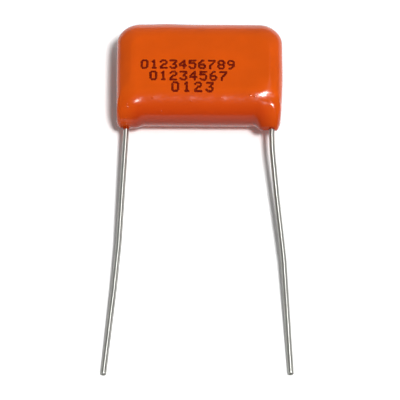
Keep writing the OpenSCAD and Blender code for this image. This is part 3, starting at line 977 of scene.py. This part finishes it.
# --------------------------------------------------------------- operators
class CAPACITOR_OT_coating(bpy.types.Operator):
    """Make the dipped coating with its legs and collars"""

    bl_idname = "capacitor.coating"
    bl_label = "Coating"

    def execute(self, context):
        scene = context.scene
        coat, leg, lead = scene.capacitor_coating, scene.capacitor_legs, scene.capacitor_leads
        skin = dress(coating_piece(coat, leg, lead), materials()["epoxy"])
        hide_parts("coating")
        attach(skin, BODY)
        for name, start, drop in (("collar_left", lead.left_start, leg.left_drop),
                                  ("collar_right", lead.right_start, leg.right_drop)):
            collar = collar_piece(name, start[0], start[2], drop, coat, leg, lead)
            dress(collar, materials()["collar"])
            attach(collar, BODY)
        return {"FINISHED"}


class CAPACITOR_OT_leads(bpy.types.Operator):
    """Make the two tinned wires"""

    bl_idname = "capacitor.leads"
    bl_label = "Wires"

    def execute(self, context):
        scene = context.scene
        coat, leg, lead = scene.capacitor_coating, scene.capacitor_legs, scene.capacitor_leads
        wires = (("wire_left", "lead_left", -1, lead.left_start, leg.left_drop,
                  lead.left_run, lead.left_splay, lead.left_droop, 3),
                 ("wire_right", "lead_right", 1, lead.right_start, leg.right_drop,
                  lead.right_run, lead.right_splay, lead.right_droop, 5))
        for name, node, side, start, drop, runs, splay, droop, seed in wires:
            first = start[1] + coat.height / 2 + drop + lead.stop_below
            wire = wire_piece(name, side, np.array(start), first,
                              list(runs), list(splay), list(droop), lead, seed)
            dress(wire, materials()["tin"])
            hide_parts(node)
            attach(wire, BODY)
        return {"FINISHED"}


class CAPACITOR_OT_print(bpy.types.Operator):
    """Print three rows of plain figures in dots on the front"""

    bl_idname = "capacitor.print_rows"
    bl_label = "Print"

    def execute(self, context):
        scene = context.scene
        coat, ink = scene.capacitor_coating, scene.capacitor_print
        # name, figures, then the left, right, top and bottom of each row in millimetres
        rows = (("print_row_1", ink.row_1, -8.95, 5.3, 0.22, -1.4),
                ("print_row_2", ink.row_2, -7.6, 4.15, -1.86, -3.52),
                ("print_row_3", ink.row_3, -4.25, 2.05, -3.85, -5.55))
        for seed, (name, text, left, right, top, bottom) in enumerate(rows):
            row = print_piece(name, text, left * MM, right * MM, top * MM, bottom * MM,
                              coat, ink, seed)
            dress(row, materials()["ink"])
            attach(row, BODY)
        return {"FINISHED"}


class CAPACITOR_OT_inside(bpy.types.Operator):
    """Give the roll, its end layers and the solder joints their finishes"""

    bl_idname = "capacitor.inside"
    bl_label = "Inner Parts"

    def execute(self, context):
        finish = {"winding": "roll", "end_layer_left": "end", "end_layer_right": "end",
                  "solder_left": "solder", "solder_right": "solder"}
        for node, key in finish.items():
            dress(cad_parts[node], materials()[key])
        return {"FINISHED"}


class CAPACITOR_OT_stage(bpy.types.Operator):
    """Make the floor, the light and the camera"""

    bl_idname = "capacitor.stage"
    bl_label = "Stage"

    def execute(self, context):
        stage = context.scene.capacitor_stage
        make_floor()
        make_light(stage)
        make_camera(stage)
        context.scene.view_settings.view_transform = "Standard"
        return {"FINISHED"}


def make_floor():
    """A wide white floor that keeps shadows and reads as white where it is lit."""
    half = 6.0
    z = -0.002 * MM
    lift_strength = 0.06
    points = np.array([(-half, -half, z), (half, -half, z), (half, half, z), (-half, half, z)])
    floor = build_mesh("floor", points, np.array([[0, 1, 2, 3]]), np.zeros((0, 3), int), False)
    material = bpy.data.materials.new("white_floor")
    material.use_nodes = True
    tree = material.node_tree
    shader = tree.nodes["Principled BSDF"]
    shader.inputs["Base Color"].default_value = (0.95, 0.95, 0.95, 1.0)
    shader.inputs["Roughness"].default_value = 0.9
    shader.inputs["Specular IOR Level"].default_value = 0.0
    path = add(tree, "ShaderNodeLightPath")
    seen = math_node(tree, "MAXIMUM", path.outputs["Is Camera Ray"], path.outputs["Is Glossy Ray"])
    seen = math_node(tree, "MAXIMUM", seen, path.outputs["Is Transmission Ray"])
    lift = math_node(tree, "MULTIPLY", seen, lift_strength)
    shader.inputs["Emission Color"].default_value = (1.0, 1.0, 1.0, 1.0)
    tree.links.new(lift, shader.inputs["Emission Strength"])
    dress(floor, material)


def make_light(stage):
    """A soft lamp above, in front and to the right, a dim room, a pale backdrop and a long light."""
    data = bpy.data.lights.new("lamp", "SUN")
    data.energy = stage.lamp_strength
    data.angle = stage.lamp_spread
    lamp = link(bpy.data.objects.new("lamp", data))
    towards = -np.array(stage.lamp_from)
    lamp.rotation_mode = "QUATERNION"
    lamp.rotation_quaternion = Vector(towards).to_track_quat("-Z", "Y")
    world = bpy.data.worlds.new("room")
    bpy.context.scene.world = world
    world.use_nodes = True
    tree = world.node_tree
    back = tree.nodes["Background"]
    coords = add(tree, "ShaderNodeTexCoord").outputs["Generated"]
    back.inputs["Color"].default_value = (1.0, 1.0, 1.0, 1.0)
    split = add(tree, "ShaderNodeSeparateXYZ")
    tree.links.new(coords, split.inputs[0])
    behind = ramp(tree, split.outputs["Y"], 0.2, 0.95)
    near_floor = ramp(tree, split.outputs["Z"], 0.7, 0.2)
    cloth = math_node(tree, "MULTIPLY", behind, near_floor)
    cloth = math_node(tree, "MULTIPLY", cloth, stage.backdrop)
    # the long light lies along a great circle, bright near the lamp and faint beyond
    one_end, other_end = Vector((0.23, -0.4, 0.89)), Vector((0.27, 0.5, 0.82))
    off_line = math_node(tree, "ABSOLUTE", dot(tree, coords, one_end.cross(other_end)), 0.0)
    along = math_node(tree, "MULTIPLY", ramp(tree, split.outputs["Y"], -0.5, -0.4),
                      ramp(tree, split.outputs["Y"], 0.7, 0.4))
    bright = ramp(tree, split.outputs["Y"], 0.06, -0.12)
    bright = math_node(tree, "ADD", math_node(tree, "MULTIPLY", bright, stage.tube_end), 1.0)
    tube = math_node(tree, "MULTIPLY", ramp(tree, off_line, 0.065, 0.03), along)
    tube = math_node(tree, "MULTIPLY", tube, bright)
    tube = math_node(tree, "MULTIPLY", tube, stage.tube)
    level = math_node(tree, "ADD", math_node(tree, "ADD", cloth, tube), stage.room)
    tree.links.new(level, back.inputs["Strength"])


def make_camera(stage):
    """A long lens at the elevation of the view, aimed at a place on the floor."""
    data = bpy.data.cameras.new("camera")
    data.lens = stage.lens
    data.sensor_width = 36.0
    data.clip_start, data.clip_end = 0.05, 50.0
    camera = link(bpy.data.objects.new("camera", data))
    e = stage.elevation
    camera.location = (stage.aim[0], stage.aim[1] - stage.distance * math.cos(e),
                       stage.distance * math.sin(e))
    camera.rotation_euler = (math.pi / 2 - e, 0.0, 0.0)
    bpy.context.scene.camera = camera


STEPS = (CAPACITOR_OT_coating, CAPACITOR_OT_leads, CAPACITOR_OT_print,
         CAPACITOR_OT_inside, CAPACITOR_OT_stage)


class VIEW3D_PT_capacitor(bpy.types.Panel):
    """Sidebar panel with one button for each step"""

    bl_label = "Film Capacitor"
    bl_idname = "VIEW3D_PT_capacitor"
    bl_space_type = "VIEW_3D"
    bl_region_type = "UI"
    bl_category = "Capacitor"

    def draw(self, context):
        layout = self.layout
        for step in STEPS:
            layout.operator(step.bl_idname)
        for key in SETTINGS:
            group = getattr(context.scene, key)
            box = layout.box()
            for name in group.__annotations__:
                box.prop(group, name)


SETTINGS = {
    "capacitor_coating": CoatingSettings,
    "capacitor_legs": LegSettings,
    "capacitor_leads": LeadSettings,
    "capacitor_print": PrintSettings,
    "capacitor_colours": ColourSettings,
    "capacitor_stage": StageSettings,
}
CLASSES = (*SETTINGS.values(), *STEPS, VIEW3D_PT_capacitor)


def register():
    for cls in CLASSES:
        bpy.utils.register_class(cls)
    for key, cls in SETTINGS.items():
        setattr(bpy.types.Scene, key, PointerProperty(type=cls))


def unregister():
    for key in SETTINGS:
        delattr(bpy.types.Scene, key)
    for cls in reversed(CLASSES):
        bpy.utils.unregister_class(cls)


def main():
    register()
    bpy.ops.capacitor.stage()
    bpy.ops.capacitor.coating()
    bpy.ops.capacitor.leads()
    bpy.ops.capacitor.print_rows()
    bpy.ops.capacitor.inside()


if __name__ == "__main__":
    main()
